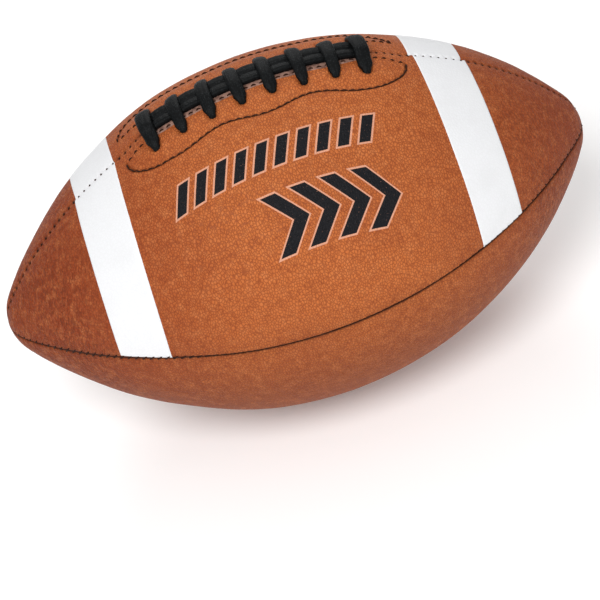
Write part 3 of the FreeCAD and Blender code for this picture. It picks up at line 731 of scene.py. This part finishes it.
def stripe_material():
    material, tree, shader, where = start_material("white_stripe")
    grains = add_node(tree, "ShaderNodeTexVoronoi", {"Vector": where, "Scale": 650.0, "Randomness": 0.9},
                      feature="DISTANCE_TO_EDGE").outputs["Distance"]
    rounded = ranged(tree, grains, 0.0, 0.3)
    dirt = noise(tree, where, 60.0, 5.0, 0.6)
    soiled = ranged(tree, dirt, 0.45, 0.75, 0.0, 0.35)
    white = blend_colour(tree, soiled, (0.79, 0.795, 0.81), (0.71, 0.71, 0.72))
    # Painted shade in the creases between the grains.
    white = blend_colour(tree, ranged(tree, rounded, 0.5, 0.0, 0.0, 0.10), white, (0.58, 0.57, 0.56))
    tree.links.new(white, shader.inputs["Base Color"])
    tree.links.new(ranged(tree, dirt, 0.3, 0.7, 0.42, 0.52), shader.inputs["Roughness"])
    shader.inputs["Specular IOR Level"].default_value = 0.4
    tree.links.new(bump(tree, rounded, 0.00007, 0.5), shader.inputs["Normal"])
    return material


plain_leather = leather_material("pebbled_leather")
printed_leather = leather_material("printed_leather", printed=True)
white_stripe = stripe_material()
black_lace = lace_material()
dark_thread = plain_material(
    "dark_thread", (0.05, 0.017, 0.008), (0.015, 0.006, 0.004), 1800, 0.65, 0.00006, 0.12)
hem_leather = plain_material("raw_hem", (0.36, 0.20, 0.15), (0.12, 0.055, 0.04), 420, 0.75, 0.0001, 0.25, 0.1)
raw_leather = plain_material(
    "raw_leather", (0.50, 0.30, 0.20), (0.36, 0.20, 0.13), 420, 0.8, 0.00015, 0.2, 0.2)
bladder_rubber = plain_material(
    "bladder_rubber", (0.05, 0.05, 0.05), (0.03, 0.03, 0.03), 120, 0.55, 0.0001)
valve_rubber = plain_material(
    "valve_rubber", (0.035, 0.035, 0.036), (0.02, 0.02, 0.02), 700, 0.5, 0.00004)
lining_cloth = woven_material("lining_cloth", (0.74, 0.72, 0.66), (0.50, 0.48, 0.42), 6000.0)


# ---------------------------------------------------------------- panels and stripes

quarters = [
    ("upper_front", True, 1, 11, printed_leather),
    ("upper_rear", True, -1, 31, plain_leather),
    ("lower_front", False, 1, 51, plain_leather),
    ("lower_rear", False, -1, 71, plain_leather),
]
panels = {}
for name, upper, side, seed, material in quarters:
    panels[name] = make_panel(name + "_panel", upper, side, seed, material)


def cut_valve_hole(panel):
    """The round hole in the leather over the valve's mouth."""
    turn = np.linspace(0, 2 * math.pi, 64, endpoint=False)
    outward = np.array([0, -math.sin(valve_angle), math.cos(valve_angle)])
    sideways = np.array([0, math.cos(valve_angle), math.sin(valve_angle)])
    ring = np.cos(turn)[:, None] * np.array([1.0, 0, 0]) + np.sin(turn)[:, None] * sideways
    middle = np.array([0, 0, axis_height]) + outward * half_diameter
    points = np.concatenate([
        middle + ring * valve_hole - outward * 6 * MM, middle + ring * valve_hole + outward * 6 * MM])
    index = np.stack([np.arange(64), np.arange(64) + 64], axis=1)
    index = np.concatenate([index, index[:1]])
    faces = grid_faces(index) + [list(range(64))[::-1], list(range(64, 128))]
    cutter = new_piece("valve_cutter", points, faces, smooth=False)
    cutter_mesh = cutter.data
    modifier = panel.modifiers.new("hole", "BOOLEAN")
    modifier.operation = "DIFFERENCE"
    modifier.solver = "EXACT"
    modifier.object = cutter
    bpy.context.view_layer.update()
    whole = panel.evaluated_get(bpy.context.evaluated_depsgraph_get())
    holed = bpy.data.meshes.new_from_object(whole)
    panel.modifiers.clear()
    panel.data = holed
    bpy.data.objects.remove(cutter)
    bpy.data.meshes.remove(cutter_mesh)


cut_valve_hole(panels["upper_rear"])


def make_stripe(name, side, seed, end):
    """A thin coated band over a panel near one nose, its edges turned down into the leather."""
    near_x, far_x, slant = stripe_edges[name.replace("_stripe", "")]
    near = float(arc_at(near_x))
    far = float(arc_at(far_x))
    lip = 0.25 * MM
    s = np.concatenate([[near], np.linspace(near + lip, far - lip, 36), [far]]) * end
    whole = quarter(s + end * slant * 95 * MM, True)
    start = 0.03 * MM + 0 * whole
    stop = whole - 0.35 * MM
    a = spread([start, start + lip, start + 2.4 * MM, stop - 2.4 * MM, stop - lip, stop], [1, 8, 126, 8, 1])
    along = s[:, None] + end * slant * a
    ground = relief(along, a, True, side, seed, grain=False)
    top = ground + stripe_rise
    top[0] = ground[0] - 0.12 * MM
    top[-1] = ground[-1] - 0.12 * MM
    top[:, 0] = ground[:, 0] - 0.12 * MM
    top[:, -1] = ground[:, -1] - 0.12 * MM
    angle = angle_of(along, a, True, side)
    upper_face = place(along, angle, top)
    lower_face = place(along, angle, ground - 0.45 * MM)
    points, faces = slab(upper_face, lower_face, (side > 0) != (end > 0))
    return finish_piece(new_piece(name, points, faces), white_stripe, [name])


for side_name, side, seed in (("front", 1, 11), ("rear", -1, 31)):
    for end_name, end in (("left", -1), ("right", 1)):
        make_stripe(f"upper_{side_name}_{end_name}_stripe", side, seed, end)


# ---------------------------------------------------------------- stitches

plain_seams = [("front", True, 1, 11, True), ("rear", True, -1, 31, True), ("bottom", False, 1, 51, False)]
for seam, upper, side, seed, at_side in plain_seams:
    stitch_run(f"{seam}_seam_stitches", seam_marks(upper, side, seed, at_side, inset=0.12 * MM), dark_thread,
               [f"{seam}_seam_stitches"], length=3.6 * MM)
stitch_run("top_seam_stitches",
           seam_marks(True, 1, 11, False, skip=slit_half + 2 * MM, inset=0.55 * MM), dark_thread,
           ["top_seam_stitches"], radius=0.42 * MM, length=1.25 * MM, sink=0.1 * MM)


def outline_marks(side, seed):
    """Stitches all along the sewn outline, from tip to tip."""
    turn = np.linspace(0, math.pi / 2, 200)
    ends = []
    for end in (-1, 1):
        at_tip = np.array(float(end))
        power = float(tip_power(at_tip, side))
        out = reach_straight + float(tip_length(at_tip, side)) * np.sin(turn) ** (2 / power)
        ends.append((end * out, np.cos(turn) ** (2 / power)))
    middle_x = np.linspace(-reach_straight, reach_straight, 400)[1:-1]
    x = np.concatenate([ends[0][0][::-1], middle_x, ends[1][0]])
    full = np.concatenate([ends[0][1][::-1], np.ones(398), ends[1][1]])
    width = outline_arc(np.clip(x, -reach_straight, reach_straight), side)
    inner = inner_arc(x, side)
    a = inner + (width - inner) * full
    s = arc_at(x)
    run = np.concatenate([[0], np.cumsum(np.hypot(np.diff(s), np.diff(a)))])
    count = int(run[-1] / stitch_pitch)
    marks = []
    for number in range(count):
        middle = (number + 0.5) * run[-1] / count
        at_s = float(np.interp(middle, run, s))
        at_a = float(np.interp(middle, run, a))
        step_s = float(np.interp(middle + 0.5 * MM, run, s)) - at_s
        step_a = float(np.interp(middle + 0.5 * MM, run, a)) - at_a
        turn = math.atan2(step_a, step_s) + 0.11
        steep = abs(math.sin(turn))
        lift = (0.2 + 0.25 * steep) * MM if side > 0 else 0.35 * MM
        marks.append((at_s, at_a, True, side, seed, math.cos(turn), math.sin(turn), lift))
    return marks


for side_name, side, seed in (("front", 1, 11), ("rear", -1, 31)):
    stitch_run(f"{side_name}_facing_stitches", outline_marks(side, seed), dark_thread,
               [f"{side_name}_facing_stitches"], radius=0.36 * MM, length=(3.75 if side > 0 else 2.8) * MM)


# ---------------------------------------------------------------- the hem along the slit

def make_hem(name, side, seed):
    """The raw turned edge of the leather that shows along the laces, with its own stitches."""
    s = np.linspace(-54 * MM, 54 * MM, 190)
    x = meridian(s)[0]
    outer = hem_arc(x, side) + 0.25 * MM * lumps(s, 0 * s, 6 * MM, seed + 40)
    fade = ease((54.5 * MM - np.abs(s)) / (4 * MM))
    share = np.array([0, 0.03, 0.1, 0.25, 0.45, 0.65, 0.8, 0.88, 0.94, 0.98, 1.0])
    profile = np.array([-0.3, 0.25, 0.5, 0.58, 0.6, 0.6, 0.58, 0.5, 0.36, 0.1, -0.3]) * MM
    inner = 0.7 * MM
    a = inner + (outer - inner)[:, None] * share[None, :]
    along = np.repeat(s[:, None], len(share), axis=1)
    ground = relief(along, a, True, side, seed, grain=False)
    rough = 0.05 * MM * lumps(along, a, 1.3 * MM, seed + 41)
    top = ground + profile[None, :] * fade[:, None] - 0.35 * MM * (1 - fade)[:, None] + rough
    low = ground - 0.8 * MM
    angle = angle_of(along, a, True, side)
    points, faces = slab(place(along, angle, top), place(along, angle, low), side < 0)
    return finish_piece(new_piece(name, points, faces), hem_leather, [])


for side_name, side, seed in (("front", 1, 11), ("rear", -1, 31)):
    make_hem(f"{side_name}_slit_hem", side, seed)
    marks = []
    for number in range(-19, 20):
        s = number * stitch_pitch
        x = float(meridian(np.array(s))[0])
        if tips[side][0] < x < tips[side][1]:
            on_hem = float(ease((54.5 * MM - abs(s)) / (4 * MM)))
            sink = (0.05 + 0.5 * on_hem) * MM
            marks.append((s, float(inner_arc(np.array(x), side)), True, side, seed, 1.0, 0.0, sink))
    stitch_run(f"{side_name}_hem_stitches", marks, dark_thread, [], length=2.5 * MM)


# ---------------------------------------------------------------- laces

lace_lift = 1.75 * MM


def make_strand(name, side, node):
    """One of the two flat lace runs that lie side by side along the slit, pinched under each crossing."""
    end = crossing_arcs[-1] + 3.6 * MM
    s = np.linspace(-end, end, 330)
    pinch = np.zeros_like(s)
    for hole in crossing_arcs:
        pinch = np.maximum(pinch, np.exp(-(((s - hole) / (3.6 * MM)) ** 2)))
    seed = 90 if side > 0 else 95
    wave = lumps(s, 0 * s, 17 * MM, seed)
    a = ((2.65 if side > 0 else 2.95) + 0.18 * wave) * MM
    height = lace_lift + (1.7 - 0.45 * pinch + 0.12 * lumps(s, 0 * s, 8 * MM, seed + 1)) * MM
    turn = angle_of(s, a, True, side)
    path = place(s, turn, height)
    up = facing_out(s, turn)
    lean = side * np.radians(9 + 5 * wave)
    across = unit(np.cross(np.gradient(path, axis=0), up))
    tipped_up = up * np.cos(lean)[:, None] - across * np.sin(lean)[:, None]
    tipped_across = across * np.cos(lean)[:, None] + up * np.sin(lean)[:, None]
    taper = np.clip((end - np.abs(s)) / (2.5 * MM), 0.0, 1) ** 0.5
    half_width = ((2.85 if side > 0 else 3.15) - 0.3 * pinch) * MM * np.maximum(taper, 0.15)
    half_height = (1.9 - 0.4 * pinch) * MM * np.maximum(taper, 0.15)
    weave = np.sin(s / (0.42 * MM))
    half_width = half_width * (1 + 0.012 * weave)
    half_height = half_height * (1 + 0.018 * weave)
    points, faces = tube(path, tipped_across, tipped_up, half_width, half_height, power=2.5, around=40,
                         grooves=lambda t: 0.035 * np.cos(13 * t))
    return finish_piece(new_piece(name, points, faces), black_lace, [node])


make_strand("front_lace_strand", 1, "front_lace_strand")
make_strand("rear_lace_strand", -1, "rear_lace_strand")


def make_crossing(number, s):
    """One lace loop over the strands, its legs tapering into the two holes beside the slit."""
    end = number in (1, 8)
    shift = [float(scatter(np.array(number), np.array(step), 77)) - 0.5 for step in range(8)]
    grow = 1.15 if end else 1.0
    front = 13.5 + 0.5 * shift[0] + (0.5 if end else 0)
    rear = 12.4 + 0.6 * shift[1] + (1.8 if end else 0)
    top = 5.6 + 0.3 * shift[2] + (1.1 if end else 0)
    stops = [
        (-rear - 0.4, -0.9), (-rear + 0.6, 1.5), (-rear + 2.6, 2.7), (-7.4, top - 1.6), (-4.2, top - 0.5),
        (0.0, top), (4.2, top - 0.3), (7.4, 4.3), (front - 3.0, 3.1), (front - 0.9, 1.7), (front, 0.3),
        (front + 0.1, -1.1),
    ]
    line = smooth_through(stops, 76)
    y = line[:, 0] * MM
    height = line[:, 1] * MM
    sway = s + (1.0 * shift[3] * np.linspace(-1, 1, 76) + 0.7 * shift[4]) * MM
    away = meridian(np.full(76, s))[1]
    side_angle = y / away
    path = place(sway, side_angle, height)
    turn = np.linspace(0, 1, 76)
    reach = np.abs(line[:, 0]) / 13.8
    half_width = (3.25 - 0.3 * ease((reach - 0.3) / 0.4) - 1.35 * ease((reach - 0.78) / 0.22)) * grow * MM
    half_width = half_width * (1 + 0.05 * np.sin(turn * 9 + 6 * shift[5]))
    half_height = (1.4 + 0.1 * ease((reach - 0.5) / 0.5)) * MM * (1.15 if end else 1.0)
    ahead = unit(np.gradient(path, axis=0))
    along = unit(place(sway + 0.5 * MM, side_angle, height) - path)
    across = unit(along - ahead * np.sum(along * ahead, axis=1, keepdims=True))
    up = unit(np.cross(across, ahead))
    lean = np.radians(16 * shift[6] * np.sin(turn * math.pi) + 8 * shift[7])
    tipped_up = up * np.cos(lean)[:, None] - across * np.sin(lean)[:, None]
    tipped_across = across * np.cos(lean)[:, None] + up * np.sin(lean)[:, None]
    points, faces = tube(path, tipped_across, tipped_up, half_width, half_height, power=2.6, around=44,
                         grooves=lambda t: 0.05 * np.cos(11 * t))
    name = f"lace_crossing_{number}"
    return finish_piece(new_piece(name, points, faces), black_lace, [name])


for number, s in enumerate(crossing_arcs, start=1):
    make_crossing(number, s)


# ---------------------------------------------------------------- carried-over CAD parts

carried = {
    "lining": lining_cloth,
    "lace_facing": raw_leather,
    "lace_guard": raw_leather,
    "inner_lace": black_lace,
    "bladder": bladder_rubber,
    "valve": valve_rubber,
}
for node_name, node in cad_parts.items():
    if node.hide_render:
        continue
    for word, material in carried.items():
        if word in node_name:
            node.data.materials.clear()
            node.data.materials.append(material)


# ---------------------------------------------------------------- floor, light and camera

def make_floor():
    size = 6.0
    points = np.array([[-size, -size, 0], [size, -size, 0], [size, size, 0], [-size, size, 0]])
    floor = new_piece("floor", points, [[0, 1, 2, 3]])
    material = bpy.data.materials.new("floor_white")
    material.use_nodes = True
    shader = material.node_tree.nodes["Principled BSDF"]
    shader.inputs["Base Color"].default_value = (0.95, 0.95, 0.95, 1)
    shader.inputs["Emission Color"].default_value = (1, 1, 1, 1)
    shader.inputs["Emission Strength"].default_value = 0.13
    shader.inputs["Specular IOR Level"].default_value = 0.1
    shader.inputs["Roughness"].default_value = 0.9
    floor.data.materials.append(material)


def add_light(name, place_at, size, energy, colour=(1, 1, 1)):
    data = bpy.data.lights.new(name, "AREA")
    data.shape = "DISK"
    data.size = size
    data.energy = energy
    data.color = colour
    light = bpy.data.objects.new(name, data)
    bpy.context.scene.collection.objects.link(light)
    target = Vector((0, 0, axis_height))
    light.location = Vector(place_at)
    light.rotation_euler = (light.location - target).to_track_quat("Z", "Y").to_euler()


make_floor()
add_light("key", (-0.40, -0.95, 1.30), 0.8, 18)
add_light("fill", (1.1, -0.9, 0.7), 1.0, 2.5)
add_light("back", (0.2, 1.2, 1.1), 1.0, 8)

world = bpy.data.worlds.new("studio")
world.use_nodes = True
world.node_tree.nodes["Background"].inputs["Color"].default_value = (1, 1, 1, 1)
world.node_tree.nodes["Background"].inputs["Strength"].default_value = 0.42
bpy.context.scene.world = world
bpy.context.scene.view_settings.view_transform = "Standard"

camera_azimuth = math.radians(-3.528)
camera_elevation = math.radians(37.393)
camera_roll = math.radians(-17.829)
camera_distance = 1.177
aim_right = 0.0019
aim_down = 0.0372


def make_camera():
    data = bpy.data.cameras.new("camera")
    data.lens = 149.44
    data.sensor_width = 36
    data.clip_start = 0.05
    camera = bpy.data.objects.new("camera", data)
    bpy.context.scene.collection.objects.link(camera)
    back = Vector((
        math.sin(camera_azimuth) * math.cos(camera_elevation),
        -math.cos(camera_azimuth) * math.cos(camera_elevation),
        math.sin(camera_elevation),
    ))
    right = (-back).cross(Vector((0, 0, 1))).normalized()
    up = right.cross(-back)
    rolled_right = right * math.cos(camera_roll) + up * math.sin(camera_roll)
    rolled_up = up * math.cos(camera_roll) - right * math.sin(camera_roll)
    middle = Vector((0, 0, axis_height))
    place_at = middle + back * camera_distance
    aim = middle + rolled_right * aim_right - rolled_up * aim_down
    backward = (place_at - aim).normalized()
    side = rolled_up.cross(backward).normalized()
    upward = backward.cross(side)
    turn = Matrix((side, upward, backward)).transposed()
    camera.matrix_world = Matrix.Translation(place_at) @ turn.to_4x4()
    bpy.context.scene.camera = camera


make_camera()
